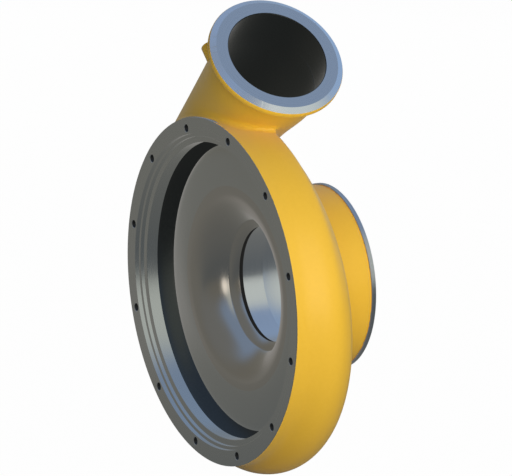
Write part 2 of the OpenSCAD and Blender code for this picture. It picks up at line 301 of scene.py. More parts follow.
def lathe(name, profile, material, steps=240):
    """Closed solid turned about the shaft axis from a closed profile of (radius, depth)."""
    bm = bmesh.new()
    rings = []
    for r, d in profile:
        if r < 1e-7:
            rings.append([bm.verts.new((0, d, 0))] * steps)
        else:
            rings.append([bm.verts.new((r * math.cos(2 * math.pi * i / steps), d,
                                        r * math.sin(2 * math.pi * i / steps))) for i in range(steps)])
    for a in range(len(rings)):
        b = (a + 1) % len(rings)
        for i in range(steps):
            j = (i + 1) % steps
            corner = []
            for v in (rings[a][i], rings[a][j], rings[b][j], rings[b][i]):
                if v not in corner:
                    corner.append(v)
            if len(corner) > 2:
                bm.faces.new(corner)
    bmesh.ops.recalc_face_normals(bm, faces=bm.faces)
    mesh = bpy.data.meshes.new(name)
    bm.to_mesh(mesh)
    bm.free()
    mesh.materials.append(material)
    item = bpy.data.objects.new(name, mesh)
    bpy.context.scene.collection.objects.link(item)
    return item


def round_over(centre, a, b, start, end, steps):
    """Profile points on an arc of half axes a and b, between two angles in degrees."""
    turn = [math.radians(start + (end - start) * i / steps) for i in range(steps + 1)]
    return [(centre[0] + a * math.cos(w), centre[1] + b * math.sin(w)) for w in turn]


def combine(item, other, operation="DIFFERENCE"):
    """Cuts the other solid out of the item, or joins the two; faces keep their own material."""
    modifier = item.modifiers.new("cut", "BOOLEAN")
    modifier.operation = operation
    modifier.solver = "MANIFOLD"
    modifier.material_mode = "TRANSFER"
    modifier.object = other
    graph = bpy.context.evaluated_depsgraph_get()
    mesh = bpy.data.meshes.new_from_object(item.evaluated_get(graph))
    item.modifiers.clear()
    item.data = mesh
    bpy.data.objects.remove(other)


EDGE_CUT, EDGE_SKIM, SKIM_DEPTH, HAIR = 0.0005, 0.0008, 0.003, 0.0001
FACING_AHEAD, BORING_AHEAD = 0.010, 0.012
combine(casting, lathe("facing", [
    (0.0, -FACING_AHEAD), (FLANGE_R + EDGE_SKIM, -FACING_AHEAD), (FLANGE_R + EDGE_SKIM, SKIM_DEPTH),
    (FLANGE_R + HAIR, SKIM_DEPTH), (FLANGE_R + HAIR, EDGE_CUT), (FLANGE_R - EDGE_CUT, 0.0), (0.0, 0.0)],
    turned, 360))

STEP_R, STEP_DEPTH = 0.1588, 0.0045
MID_R, MID_DEPTH = 0.1555, 0.0084
PILOT_R = mounts["pilot_bore"]["dims"]["r_mm"] / 1000
PILOT_DEPTH = 0.0205
EDGE_BREAK, LEAD_IN_W, LEAD_IN_DEPTH = 0.0003, 0.0006, 0.0004
MOUTH_RELIEF, MOUTH_BACK = 0.0022, 0.039
NOSE_R, NOSE_SLOPE, NOSE_ROUND, NOSE_POINTS = 0.1444, 0.0050, 0.0035, 24
FLAT_R, WALL_DEPTH = 0.103, 0.029
EYE_R, SLOT_DEPTH, SLOT_END = 0.0576, 0.0638, 0.0683
RING_R = 0.0586


def nose_run():
    """Points from the mouth's edge in to the flat wall, closer together where the edge rounds off."""
    points = []
    for k in range(NOSE_POINTS, -1, -1):
        share = 1 - (1 - k / NOSE_POINTS) ** 1.5
        points.append((FLAT_R + (NOSE_R - FLAT_R) * share,
                       WALL_DEPTH + NOSE_SLOPE * share ** 1.65 + NOSE_ROUND * share ** 12))
    return points


combine(casting, lathe("pilot and diffuser wall", [
    (0.0, -BORING_AHEAD), (STEP_R + LEAD_IN_W, -BORING_AHEAD), (STEP_R, LEAD_IN_DEPTH), (STEP_R, STEP_DEPTH),
    (MID_R + EDGE_BREAK, STEP_DEPTH), (MID_R, STEP_DEPTH + EDGE_BREAK), (MID_R, MID_DEPTH),
    (PILOT_R + EDGE_BREAK, MID_DEPTH), (PILOT_R, MID_DEPTH + EDGE_BREAK), (PILOT_R, PILOT_DEPTH),
    (PILOT_R + MOUTH_RELIEF, PILOT_DEPTH), (PILOT_R + MOUTH_RELIEF, MOUTH_BACK), (NOSE_R, MOUTH_BACK)]
    + nose_run() + [(0.0, WALL_DEPTH)], turned, 240))

# The wheel's contour is cut with a form tool after that, and comes out a little warmer in tone.
contoured = finish_with_grain("contoured aluminium", (0.490, 0.466, 0.430), (0.504, 0.480, 0.443),
                              (0.23, 0.26), metallic=1.0, size=420.0, depth=0.003, rings=1.0)
CONTOUR_RUN = ((0.0970, 0.0290, 0), (0.0830, 0.0330, 28), (0.0716, 0.0428, 52), (0.0672, 0.0511, 72),
               (0.0662, 0.0553, 80))
SHOULDER_RUN = ((0.0662, 0.0553, 80), (0.0650, 0.0568, 28), (EYE_R + HAIR, SLOT_DEPTH, 70))
OVERLAP, THROUGH = 0.001, 0.15


def eased_run(stations, steps):
    """Profile points on a smooth curve through (radius, depth, tilt in degrees from the flat)."""
    points = []
    for (r0, d0, t0), (r1, d1, t1) in zip(stations, stations[1:]):
        chord = math.hypot(r1 - r0, d1 - d0)
        for k in range(steps):
            u = k / steps
            points.append(tuple(
                (1 + 2 * u) * (1 - u) ** 2 * p0 + u * (1 - u) ** 2 * chord * s0
                + u * u * (3 - 2 * u) * p1 - u * u * (1 - u) * chord * s1
                for p0, p1, s0, s1 in ((r0, r1, -math.cos(math.radians(t0)), -math.cos(math.radians(t1))),
                                       (d0, d1, math.sin(math.radians(t0)), math.sin(math.radians(t1))))))
    return points + [stations[-1][:2]]


combine(casting, lathe("wheel contour", [
    (0.0, -BORING_AHEAD), (FLAT_R - OVERLAP, -BORING_AHEAD), (FLAT_R - OVERLAP, WALL_DEPTH - OVERLAP),
    (FLAT_R, WALL_DEPTH + HAIR)]
    + eased_run(CONTOUR_RUN, 8)[:-1] + eased_run(SHOULDER_RUN, 7)
    + [(EYE_R, SLOT_DEPTH + EDGE_BREAK), (EYE_R, SLOT_END), (RING_R, SLOT_END), (RING_R, THROUGH),
       (0.0, THROUGH)],
    contoured, 240))


# The volute's passage: a sand core whose circle grows with the root of the turn, so that the air
# keeps its speed, and runs on into the outlet. It opens through the narrow mouth round the wall.
# The passage's walls are painted nearly black: painted shade for the dark inside of the passage. The
# outlet's bore takes the same colour.
passage_shade = finish_with_grain("passage in painted shade", (0.052, 0.056, 0.054), (0.074, 0.078, 0.076),
                           (0.30, 0.42), metallic=1.0, size=500.0, depth=0.15, rings=0.0)
WALL, START_SHARE, CORE_EASE, CORE_PAST_END = 0.006, 0.16, 0.0002, 0.01
OUTLET_BORE_R = mounts["outlet_bore"]["dims"]["r_mm"] / 1000
FLANGE_GUARD = ((0.1760, -0.030), (0.1740, PILOT_DEPTH - 0.003), (0.1715, PILOT_DEPTH))
PLATE_ROUND, PLATE_BACK = 0.002, 0.041


def new_tree(name, sockets):
    tree = bpy.data.node_groups.new(name, "GeometryNodeTree")
    tree.interface.new_socket("Geometry", in_out="OUTPUT", socket_type="NodeSocketGeometry")
    for key, kind in sockets:
        tree.interface.new_socket(key, in_out="INPUT", socket_type="NodeSocket" + kind)
    return tree, tree.nodes.new("NodeGroupInput"), tree.nodes.new("NodeGroupOutput")


def made_by(tree, name, values):
    """Mesh object made by a tree, with its inputs set by their identifiers."""
    item = bpy.data.objects.new(name, bpy.data.meshes.new(name))
    bpy.context.scene.collection.objects.link(item)
    modifier = item.modifiers.new("made by rule", "NODES")
    modifier.node_group = tree
    for socket in tree.interface.items_tree:
        if socket.in_out == "INPUT" and socket.name in values:
            modifier[socket.identifier] = values[socket.name]
    graph = bpy.context.evaluated_depsgraph_get()
    mesh = bpy.data.meshes.new_from_object(item.evaluated_get(graph))
    item.modifiers.clear()
    item.data = mesh
    return item


def volute_tree():
    tree, into, out = new_tree("volute core", [
        ("Start Share", "Float"), ("End Angle", "Float"), ("Line Radius", "Float"), ("Line Lead", "Float"),
        ("Front", "Float"), ("Skin Start", "Float"), ("Skin End", "Float"), ("Wall", "Float"),
        ("Reach", "Float"), ("Offset", "Float"), ("Bore Radius", "Float"), ("Flare End", "Float"),
        ("Flare Power", "Float"), ("Flare Ease", "Float"), ("Steps", "Int"), ("Sides", "Int"),
        ("Material", "Material")])
    put, link = tree.nodes.new, tree.links.new

    def calc(operation, a, b=0.0, c=0.0):
        step = put("ShaderNodeMath")
        step.operation = operation
        for socket, value in zip(step.inputs, (a, b, c)):
            if isinstance(value, (int, float)):
                socket.default_value = value
            else:
                link(value, socket)
        return step.outputs[0]

    given = into.outputs
    line = put("GeometryNodeCurvePrimitiveLine")
    line.inputs["End"].default_value = (1, 0, 0)
    resample = put("GeometryNodeResampleCurve")
    link(line.outputs[0], resample.inputs["Curve"])
    link(given["Steps"], resample.inputs["Count"])
    index = put("GeometryNodeInputIndex").outputs[0]
    run = calc("DIVIDE", index, calc("SUBTRACT", given["Steps"], 1.0))
    # The first part of the run winds round the shaft, and the rest goes straight out along the pipe.
    turn_part = 0.78
    share = calc("MINIMUM", calc("ADD", given["Start Share"], calc(
        "MULTIPLY", calc("DIVIDE", run, turn_part), calc("SUBTRACT", 1.0, given["Start Share"]))), 1.0)
    along = calc("MULTIPLY", calc("MAXIMUM", calc("SUBTRACT", run, turn_part), 0.0),
                 calc("DIVIDE", given["Reach"], 1.0 - turn_part))
    opened = calc("POWER", calc("DIVIDE", along, given["Flare End"]), given["Flare Power"])
    open_up = calc("SMOOTH_MIN", opened, 1.0, given["Flare Ease"])
    skin = calc("ADD", given["Skin Start"], calc(
        "MULTIPLY", calc("SQRT", share), calc("SUBTRACT", given["Skin End"], given["Skin Start"])))
    turn_r = calc("SUBTRACT", given["Line Radius"], calc(
        "MULTIPLY", given["Line Lead"], calc("POWER", calc("SUBTRACT", 1.0, share), 4.0)))
    radial = calc("ADD", turn_r, calc(
        "MULTIPLY", open_up, calc("SUBTRACT", given["Offset"], given["Line Radius"])))
    angle = calc("SUBTRACT", given["End Angle"], calc("MULTIPLY", share, 2 * math.pi))
    c, s = calc("COSINE", angle), calc("SINE", angle)
    place = put("ShaderNodeCombineXYZ")
    link(calc("ADD", calc("MULTIPLY", radial, c), calc("MULTIPLY", along, s)), place.inputs["X"])
    link(calc("ADD", given["Front"], skin), place.inputs["Y"])
    link(calc("SUBTRACT", calc("MULTIPLY", radial, s), calc("MULTIPLY", along, c)), place.inputs["Z"])
    inner = calc("SUBTRACT", skin, given["Wall"])
    bore = calc("SUBTRACT", given["Bore Radius"], calc("SUBTRACT", given["Skin End"], given["Wall"]))
    radius = calc("ADD", inner, calc("MULTIPLY", open_up, bore))
    move = put("GeometryNodeSetPosition")
    swell = put("GeometryNodeSetCurveRadius")
    circle = put("GeometryNodeCurvePrimitiveCircle")
    circle.inputs["Radius"].default_value = 1.0
    sweep = put("GeometryNodeCurveToMesh")
    sweep.inputs["Fill Caps"].default_value = True
    paint = put("GeometryNodeSetMaterial")
    realize = put("GeometryNodeRealizeInstances")
    link(resample.outputs[0], move.inputs["Geometry"])
    link(place.outputs[0], move.inputs["Position"])
    link(move.outputs[0], swell.inputs["Curve"])
    link(radius, swell.inputs["Radius"])
    link(given["Sides"], circle.inputs["Resolution"])
    link(swell.outputs[0], sweep.inputs["Curve"])
    link(circle.outputs["Curve"], sweep.inputs["Profile Curve"])
    if "Scale" in sweep.inputs:
        link(radius, sweep.inputs["Scale"])
    link(sweep.outputs[0], realize.inputs[0])
    link(realize.outputs[0], paint.inputs["Geometry"])
    link(given["Material"], paint.inputs["Material"])
    link(paint.outputs[0], out.inputs[0])
    return tree


def close_seams(item):
    """Merges doubled points and turns all faces outwards, as a boolean needs."""
    bm = bmesh.new()
    bm.from_mesh(item.data)
    bmesh.ops.remove_doubles(bm, verts=bm.verts, dist=1e-6)
    bmesh.ops.recalc_face_normals(bm, faces=bm.faces)
    bm.to_mesh(item.data)
    bm.free()
    return item


core = close_seams(made_by(volute_tree(), "volute core", {
    "Start Share": START_SHARE, "End Angle": END_ANGLE, "Line Radius": LINE_R, "Line Lead": LINE_LEAD,
    "Front": SKIN_FRONT, "Skin Start": SKIN_START, "Skin End": SKIN_END, "Wall": WALL,
    "Reach": OUTLET_REACH + CORE_PAST_END, "Offset": OUTLET_OFFSET,
    "Bore Radius": OUTLET_BORE_R + CORE_EASE, "Flare End": FLARE_END, "Flare Power": FLARE_POWER,
    "Flare Ease": FLARE_EASE, "Steps": 140, "Sides": 96, "Material": passage_shade}))
combine(core, lathe("flange over the core", [
    (0.0, FLANGE_GUARD[0][1]), *FLANGE_GUARD, (0.0, PILOT_DEPTH)], passage_shade))
combine(core, lathe("plate under the core", [
    (0.0, 0.0), (NOSE_R, 0.0), (NOSE_R, MOUTH_BACK), (NOSE_R - PLATE_ROUND, PLATE_BACK), (0.0, PLATE_BACK)],
    passage_shade))
combine(casting, core)


# The inlet side: a chamber round the inner ring takes air back from the slot, and the ring stands on
# four cast ribs. The tube's end is turned square, with a machined rim for the intake hose.
# A lighter copy of the turned metal for the bores: painted light for their bright reflections.
bore_painted_bright = finish_with_grain("bores in painted light", (0.62, 0.63, 0.64), (0.66, 0.67, 0.68),
                          (0.23, 0.26), metallic=1.0, size=420.0, depth=0.003, rings=1.0)
INLET_BORE_R = mounts["inlet_bore"]["dims"]["r_mm"] / 1000
CHAMBER_R, CHAMBER_SLOPE, BORE_SLOPE = 0.080, 0.007, 0.008
RING_OUTER_R, RING_END, RING_ROUND = 0.0641, 0.091, 0.002
HOSE_LEAD, PAST_TUBE = 0.002, 0.014
RIB_COUNT, RIB_T, RIB_HEIGHT, RIB_LENGTH, RIB_MIDDLE = 4, 0.006, 0.020, 0.0187, 0.0777


def rib_tree():
    tree, into, out = new_tree("ribs on a ring", [
        ("Count", "Int"), ("Ring Radius", "Float"), ("Height", "Float"), ("Length", "Float"),
        ("Thickness", "Float"), ("Middle", "Float"), ("Material", "Material")])
    put, link = tree.nodes.new, tree.links.new
    ring = put("GeometryNodeMeshCircle")
    lay = put("GeometryNodeTransform")
    lay.inputs["Rotation"].default_value = (math.pi / 2, 0, 0)
    start = put("GeometryNodeTransform")
    start.inputs["Rotation"].default_value = (0, 0, math.pi / 4)
    cube = put("GeometryNodeMeshCube")
    size = put("ShaderNodeCombineXYZ")
    depth = put("ShaderNodeCombineXYZ")
    on = put("GeometryNodeInstanceOnPoints")
    lift = put("GeometryNodeTransform")
    turn = put("FunctionNodeAlignRotationToVector")
    turn.axis = "X"
    place = put("GeometryNodeInputPosition")
    realize, paint = put("GeometryNodeRealizeInstances"), put("GeometryNodeSetMaterial")
    link(into.outputs["Count"], ring.inputs["Vertices"])
    link(into.outputs["Ring Radius"], ring.inputs["Radius"])
    link(ring.outputs[0], start.inputs[0])
    link(start.outputs[0], lay.inputs[0])
    link(into.outputs["Height"], size.inputs["X"])
    link(into.outputs["Length"], size.inputs["Y"])
    link(into.outputs["Thickness"], size.inputs["Z"])
    link(size.outputs[0], cube.inputs["Size"])
    link(lay.outputs[0], on.inputs["Points"])
    link(cube.outputs[0], on.inputs["Instance"])
    link(place.outputs[0], turn.inputs["Vector"])
    link(turn.outputs[0], on.inputs["Rotation"])
    link(on.outputs[0], lift.inputs[0])
    link(into.outputs["Middle"], depth.inputs["Y"])
    link(depth.outputs[0], lift.inputs["Translation"])
    link(lift.outputs[0], realize.inputs[0])
    link(realize.outputs[0], paint.inputs["Geometry"])
    link(into.outputs["Material"], paint.inputs["Material"])
    link(paint.outputs[0], out.inputs[0])
    return tree


# The chamber and its ribs are painted nearly black: painted shade for the dark slot and the hollow behind
# it.
chamber_shade = finish_with_grain("chamber wall in painted shade", (0.022, 0.022, 0.022), (0.034, 0.034, 0.034),
                          (0.5, 0.6), metallic=0.6, size=500.0, depth=0.15, rings=0.0)
chamber = lathe("chamber core", [
    (EYE_R - OVERLAP, SLOT_DEPTH), (RING_OUTER_R, SLOT_DEPTH), (CHAMBER_R, SLOT_DEPTH + CHAMBER_SLOPE),
    (CHAMBER_R, RING_END), (INLET_BORE_R, RING_END + BORE_SLOPE), (INLET_BORE_R, INLET_END - HOSE_LEAD),
    (INLET_BORE_R + HOSE_LEAD, INLET_END), (INLET_BORE_R + HOSE_LEAD, INLET_END + PAST_TUBE),
    (RING_R - OVERLAP, THROUGH), (RING_R - OVERLAP, RING_END)]
    + round_over((RING_OUTER_R - RING_ROUND, RING_END - RING_ROUND), RING_ROUND, RING_ROUND, 90, 0, 5)
    + [(RING_OUTER_R, SLOT_END), (EYE_R - OVERLAP, SLOT_END)], chamber_shade)
combine(chamber, made_by(rib_tree(), "ribs", {
    "Count": RIB_COUNT, "Ring Radius": (RING_OUTER_R + CHAMBER_R) / 2, "Height": RIB_HEIGHT,
    "Length": RIB_LENGTH, "Thickness": RIB_T, "Middle": RIB_MIDDLE, "Material": chamber_shade}))
combine(casting, chamber)

# The ring's own bore, and the tube's bore beyond it, are brighter: a lighter copy of the turned metal,
# painted light for the bright reflections they show.
SHAVING, RING_START, RING_LEAD = 0.00005, SLOT_END - 0.0002, 0.0008
combine(casting, lathe("ring bore", [
    (0.0, RING_START), (RING_R + SHAVING, RING_START), (RING_R + SHAVING, RING_END),
    (RING_R + RING_LEAD, RING_END + OVERLAP), (0.0, RING_END + OVERLAP)], bore_painted_bright, 300))

TUBE_START, TUBE_LEAD, TUBE_MOUTH_R, PAST_RIM = RING_END + BORE_SLOPE, 0.0005, INLET_BORE_R + 0.0021, 0.01
combine(casting, lathe("tube bore", [
    (0.0, TUBE_START), (INLET_BORE_R - TUBE_LEAD, TUBE_START), (INLET_BORE_R + SHAVING, RING_END + 0.009),
    (INLET_BORE_R + SHAVING, INLET_END - HOSE_LEAD), (TUBE_MOUTH_R, INLET_END),
    (TUBE_MOUTH_R, INLET_END + PAST_RIM), (0.0, INLET_END + PAST_RIM)], bore_painted_bright, 240))

RIM_R, RIM_W, RIM_EDGE, RIM_SEAT = 0.0931, 0.0047, 0.0006, 0.0015
GROOVE_W, GROOVE_OUT, GROOVE_DEPTH = 0.0022, 0.004, 0.0008
silver = finish_with_grain("machined rim", (0.48, 0.49, 0.50), (0.54, 0.55, 0.56),
                           (0.24, 0.32), metallic=1.0, size=1200.0, depth=0.02, rings=1.0)
combine(casting, lathe("inlet rim", [
    (INLET_BORE_R + RIM_SEAT, INLET_END - RIM_W), (RIM_R, INLET_END - RIM_W),
    (RIM_R, INLET_END - RIM_EDGE), (RIM_R - RIM_EDGE, INLET_END), (INLET_BORE_R + HOSE_LEAD, INLET_END),
    (INLET_BORE_R + RIM_SEAT, INLET_END - EDGE_CUT)], silver, 300), "UNION")
combine(casting, lathe("rim groove", [
    (INLET_R - GROOVE_DEPTH, INLET_END - RIM_W - GROOVE_W),
    (INLET_R + GROOVE_OUT, INLET_END - RIM_W - GROOVE_W - GROOVE_OUT),
    (INLET_R + GROOVE_OUT, INLET_END - RIM_W), (INLET_R - GROOVE_DEPTH, INLET_END - RIM_W)], enamel, 300))


# The outlet's flange: a lip cast on the pipe and painted with it. Its face and its chamfer, which a
# band clamp grips, are turned bare, and the bore is turned out to the hose's size.
LIP_FACE_R, LIP_CHAMFER, LIP_CORNER, LIP_EDGE = 0.0637, 0.0034, 0.0018, 0.0005
CHAMFER_ROOT_R, CHAMFER_ROOT = LIP_R - 0.0012, 0.0006
LIP_BARE_FROM, FACE_SKIM = 0.0010, 0.0004
OUTLET_BORE_LENGTH, OUTLET_BREAK, PAST_FACE = 0.036, 0.0008, 0.010


def placed(columns, origin):
    """Transform with the given columns for its axes."""
    place = Matrix.Identity(4)
    for k, column in enumerate(columns):
        for q in range(3):
            place[q][k] = column[q]
    place.translation = origin
    return place


def moved(item, place):
    """Lays the mesh in its place and keeps its faces turned outwards."""
    item.data.transform(place)
    if place.determinant() < 0:
        item.data.flip_normals()
    item.data.update()
    return item


axis, shaft = Vector(OUTLET_AXIS), Vector((0, 1, 0))
outlet_centre = Vector(OUTLET_OFFSET * OUTLET_SIDE + OUTLET_REACH * OUTLET_AXIS) + Vector((0, MIDDLE, 0))
outlet_place = placed((shaft.cross(axis), axis, shaft), outlet_centre)
outlet_frame = (outlet_place.translation, outlet_place.to_euler())
faced = finish_with_grain("faced outlet", (0.55, 0.56, 0.57), (0.62, 0.63, 0.64),
                          (0.26, 0.34), metallic=1.0, size=1200.0, depth=0.02, rings=1.0,
                          place=outlet_frame)
# The chamfer's pale blue, lighter than the face, is a painted reflection of the sky.
chamfer_painted_sky = finish_with_grain("outlet chamfer", (0.70, 0.73, 0.77), (0.76, 0.79, 0.83),
                              (0.22, 0.30), metallic=1.0, size=1200.0, depth=0.02, rings=1.0,
                              place=outlet_frame)

combine(casting, moved(lathe("outlet lip", [
    (0.0, -LIP_T), (LIP_R - LIP_CORNER, -LIP_T)]
    + round_over((LIP_R - LIP_CORNER, -LIP_T + LIP_CORNER), LIP_CORNER, LIP_CORNER, 270, 360, 5)
    + [(LIP_R, -LIP_CHAMFER - LIP_BARE_FROM), (LIP_R - LIP_EDGE, -LIP_CHAMFER - HAIR),
       (0.0, -LIP_CHAMFER - HAIR)],
    enamel, 300), outlet_place), "UNION")
combine(casting, moved(lathe("outlet chamfer", [
    (0.0, -LIP_CHAMFER - CHAMFER_ROOT), (CHAMFER_ROOT_R, -LIP_CHAMFER - CHAMFER_ROOT),
    (LIP_R - LIP_EDGE, -LIP_CHAMFER), (LIP_FACE_R, 0.0), (0.0, 0.0)],
    chamfer_painted_sky, 300), outlet_place), "UNION")
combine(casting, moved(lathe("outlet face", [
    (0.0, FACE_SKIM), (0.0, -HAIR), (LIP_FACE_R, -HAIR), (LIP_FACE_R, FACE_SKIM)],
    faced, 300), outlet_place))
# The bore takes the passage's near-black colour, painted shade for its dark inside.
combine(casting, moved(lathe("outlet bore", [
    (0.0, PAST_FACE), (OUTLET_BORE_R + OUTLET_BREAK, PAST_FACE), (OUTLET_BORE_R + OUTLET_BREAK, 0.0),
    (OUTLET_BORE_R, -OUTLET_BREAK), (OUTLET_BORE_R, -OUTLET_BORE_LENGTH), (0.0, -OUTLET_BORE_LENGTH)],
    passage_shade, 300), outlet_place))


# A short round boss stands on the pipe's flank below the flange. It is cast with the pipe, and the
# passage's core ends it inside the pipe's wall.
BOSS_R, BOSS_LOW, BOSS_HIGH, BOSS_EDGE = 0.008, -0.013, 0.0515, 0.0012
BOSS_BELOW_FACE, BOSS_TO_FRONT = 0.0465, 0.0395
BOSS_WALL_LEFT, BORE_TOP, BORE_BOTTOM = 0.002, -0.030, -0.070
boss_centre = outlet_place.translation - axis * BOSS_BELOW_FACE - Vector((0, BOSS_TO_FRONT, 0))
boss = moved(lathe("boss", [(0.0, BOSS_LOW), (BOSS_R, BOSS_LOW)]
                   + round_over((BOSS_R - BOSS_EDGE, BOSS_HIGH - BOSS_EDGE), BOSS_EDGE, BOSS_EDGE, 0, 90, 5)
                   + [(0.0, BOSS_HIGH)], enamel, 48),
             placed((shaft, Vector(OUTLET_SIDE), axis), boss_centre))
combine(boss, moved(lathe("pipe bore through the boss", [
    (0.0, BORE_BOTTOM), (OUTLET_BORE_R + BOSS_WALL_LEFT, BORE_BOTTOM),
    (OUTLET_BORE_R + BOSS_WALL_LEFT, BORE_TOP), (0.0, BORE_TOP)], enamel, 96), outlet_place))
combine(casting, boss, "UNION")


# Twelve tapped holes take the bearing housing's bolts. A drill makes them, and a countersink breaks
# their edge, which catches the light.
def drilled_tree():
    tree, into, out = new_tree("drilled ring", [
        ("Count", "Int"), ("Circle Radius", "Float"), ("Start Angle", "Float"), ("Front Radius", "Float"),
        ("End Radius", "Float"), ("Front", "Float"), ("Length", "Float"), ("Material", "Material")])
    put, link = tree.nodes.new, tree.links.new
    ring = put("GeometryNodeMeshCircle")
    start, lay = put("GeometryNodeTransform"), put("GeometryNodeTransform")
    lay.inputs["Rotation"].default_value = (math.pi / 2, 0, 0)
    spin = put("ShaderNodeCombineXYZ")
    drill = put("GeometryNodeMeshCone")
    drill.inputs["Vertices"].default_value = 36
    aim = put("GeometryNodeTransform")
    aim.inputs["Rotation"].default_value = (-math.pi / 2, 0, 0)
    front = put("ShaderNodeCombineXYZ")
    on = put("GeometryNodeInstanceOnPoints")
    realize, paint = put("GeometryNodeRealizeInstances"), put("GeometryNodeSetMaterial")
    link(into.outputs["Count"], ring.inputs["Vertices"])
    link(into.outputs["Circle Radius"], ring.inputs["Radius"])
    link(into.outputs["Start Angle"], spin.inputs["Z"])
    link(ring.outputs[0], start.inputs[0])
    link(spin.outputs[0], start.inputs["Rotation"])
    link(start.outputs[0], lay.inputs[0])
    link(into.outputs["Front Radius"], drill.inputs["Radius Bottom"])
    link(into.outputs["End Radius"], drill.inputs["Radius Top"])
    link(into.outputs["Length"], drill.inputs["Depth"])
    link(drill.outputs[0], aim.inputs[0])
    link(into.outputs["Front"], front.inputs["Y"])
    link(front.outputs[0], aim.inputs["Translation"])
    link(lay.outputs[0], on.inputs["Points"])
    link(aim.outputs[0], on.inputs["Instance"])
    link(on.outputs[0], realize.inputs[0])
    link(realize.outputs[0], paint.inputs["Geometry"])
    link(into.outputs["Material"], paint.inputs["Material"])
    link(paint.outputs[0], out.inputs[0])
    return tree


bolts = mounts["flange_bolts"]["dims"]
HOLE_R, COUNTERSINK = bolts["hole_r_mm"] / 1000, 0.0005
FIRST_HOLE_DEGREES, DRILL_AHEAD, DRILL_LENGTH = 18.3, 0.006, 0.022
SHARP_DEGREES = 32
# The holes are painted nearly black: painted shade for their dark inside.
hole_shade = finish_with_grain("hole", (0.012, 0.012, 0.012), (0.018, 0.018, 0.018),
                          (0.5, 0.6), metallic=0.5, size=800.0, depth=0.05, rings=0.0)
holes = drilled_tree()
ring_of_holes = {"Count": bolts["count"], "Circle Radius": bolts["pcd_mm"] / 2000,
                 "Start Angle": math.radians(FIRST_HOLE_DEGREES)}
combine(casting, made_by(holes, "drill", {
    **ring_of_holes, "Front Radius": HOLE_R, "End Radius": HOLE_R, "Front": -DRILL_AHEAD,
    "Length": DRILL_LENGTH, "Material": hole_shade}))
combine(casting, made_by(holes, "countersink", {
    **ring_of_holes, "Front Radius": HOLE_R + 3 * COUNTERSINK, "End Radius": HOLE_R - COUNTERSINK,
    "Front": -2 * COUNTERSINK, "Length": 4 * COUNTERSINK, "Material": silver}))

casting.name = "housing_casting"
casting.data.name = "housing_casting"
for polygon in casting.data.polygons:
    polygon.use_smooth = True
casting.data.set_sharp_from_angle(angle=math.radians(SHARP_DEGREES))
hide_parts("housing")
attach(casting, "root")
# The photographed metal mirrors its studio and not its own casting, so glossy rays pass the casting by.
casting.visible_glossy = False


# The studio: a pale floor below the housing that keeps its shadow, and a white sky. Metal doesn't mirror the
# floor as white card, but as the grey ground of a room, which glows with painted light.
LOWEST = cad_box[0][2]
FLOOR_HALF = 6.0
FLOOR_WHITE = 0.985


def studio_floor():
    material = bpy.data.materials.new("pale floor")
    material.use_nodes = True
    node, link = material.node_tree.nodes.new, material.node_tree.links.new
    shader = material.node_tree.nodes["Principled BSDF"]
    out = material.node_tree.nodes["Material Output"]
    shader.inputs["Base Color"].default_value = (0.50, 0.50, 0.49, 1)
    shader.inputs["Roughness"].default_value = 0.9
    white = node("ShaderNodeEmission")
    path = node("ShaderNodeLightPath")
    soften = node("ShaderNodeMath")
    soften.operation = "MULTIPLY"
    soften.inputs[1].default_value = FLOOR_WHITE
    mix = node("ShaderNodeMixShader")
    # The mirrored ground's glow is painted: painted shade makes it darker towards the right, and a painted
    # pool of light makes it lighter at the far left.
    place, split = node("ShaderNodeTexCoord"), node("ShaderNodeSeparateXYZ")
    side = node("ShaderNodeMapRange")
    side.interpolation_type = "SMOOTHSTEP"
    side.inputs["From Min"].default_value = -0.5
    side.inputs["From Max"].default_value = 0.4
    grey = node("ShaderNodeMix")
    grey.data_type = "RGBA"
    grey.inputs[6].default_value = (0.250, 0.250, 0.232, 1)
    grey.inputs[7].default_value = (0.150, 0.165, 0.175, 1)
    mirrored, dim = node("ShaderNodeMixShader"), node("ShaderNodeEmission")
    patch_x, patch_y, painted_light_mask = node("ShaderNodeMapRange"), node("ShaderNodeMapRange"), node("ShaderNodeMath")
    painted_light_mask.operation = "MULTIPLY"
    for edge, low, high in ((patch_x, -0.30, -0.60), (patch_y, -0.34, -0.08)):
        edge.interpolation_type = "SMOOTHSTEP"
        edge.inputs["From Min"].default_value = low
        edge.inputs["From Max"].default_value = high
    painted_lit_ground = node("ShaderNodeMix")
    painted_lit_ground.data_type = "RGBA"
    painted_lit_ground.inputs[7].default_value = (0.37, 0.36, 0.345, 1)
    link(place.outputs["Object"], split.inputs[0])
    link(split.outputs["X"], side.inputs["Value"])
    link(split.outputs["X"], patch_x.inputs["Value"])
    link(split.outputs["Y"], patch_y.inputs["Value"])
    link(patch_x.outputs["Result"], painted_light_mask.inputs[0])
    link(patch_y.outputs["Result"], painted_light_mask.inputs[1])
    link(side.outputs["Result"], grey.inputs["Factor"])
    link(grey.outputs[2], painted_lit_ground.inputs[6])
    link(painted_light_mask.outputs[0], painted_lit_ground.inputs["Factor"])
    link(painted_lit_ground.outputs[2], dim.inputs["Color"])
    link(path.outputs["Is Glossy Ray"], mirrored.inputs["Fac"])
    link(shader.outputs[0], mirrored.inputs[1])
    link(dim.outputs[0], mirrored.inputs[2])
    link(path.outputs["Is Camera Ray"], soften.inputs[0])
    link(soften.outputs[0], mix.inputs["Fac"])
    link(mirrored.outputs[0], mix.inputs[1])
    link(white.outputs[0], mix.inputs[2])
    link(mix.outputs[0], out.inputs["Surface"])
    return material


floor = mesh_object("studio_floor", [
    (-FLOOR_HALF, -FLOOR_HALF, LOWEST), (FLOOR_HALF, -FLOOR_HALF, LOWEST),
    (FLOOR_HALF, FLOOR_HALF, LOWEST), (-FLOOR_HALF, FLOOR_HALF, LOWEST)], [(0, 1, 2, 3)], studio_floor())


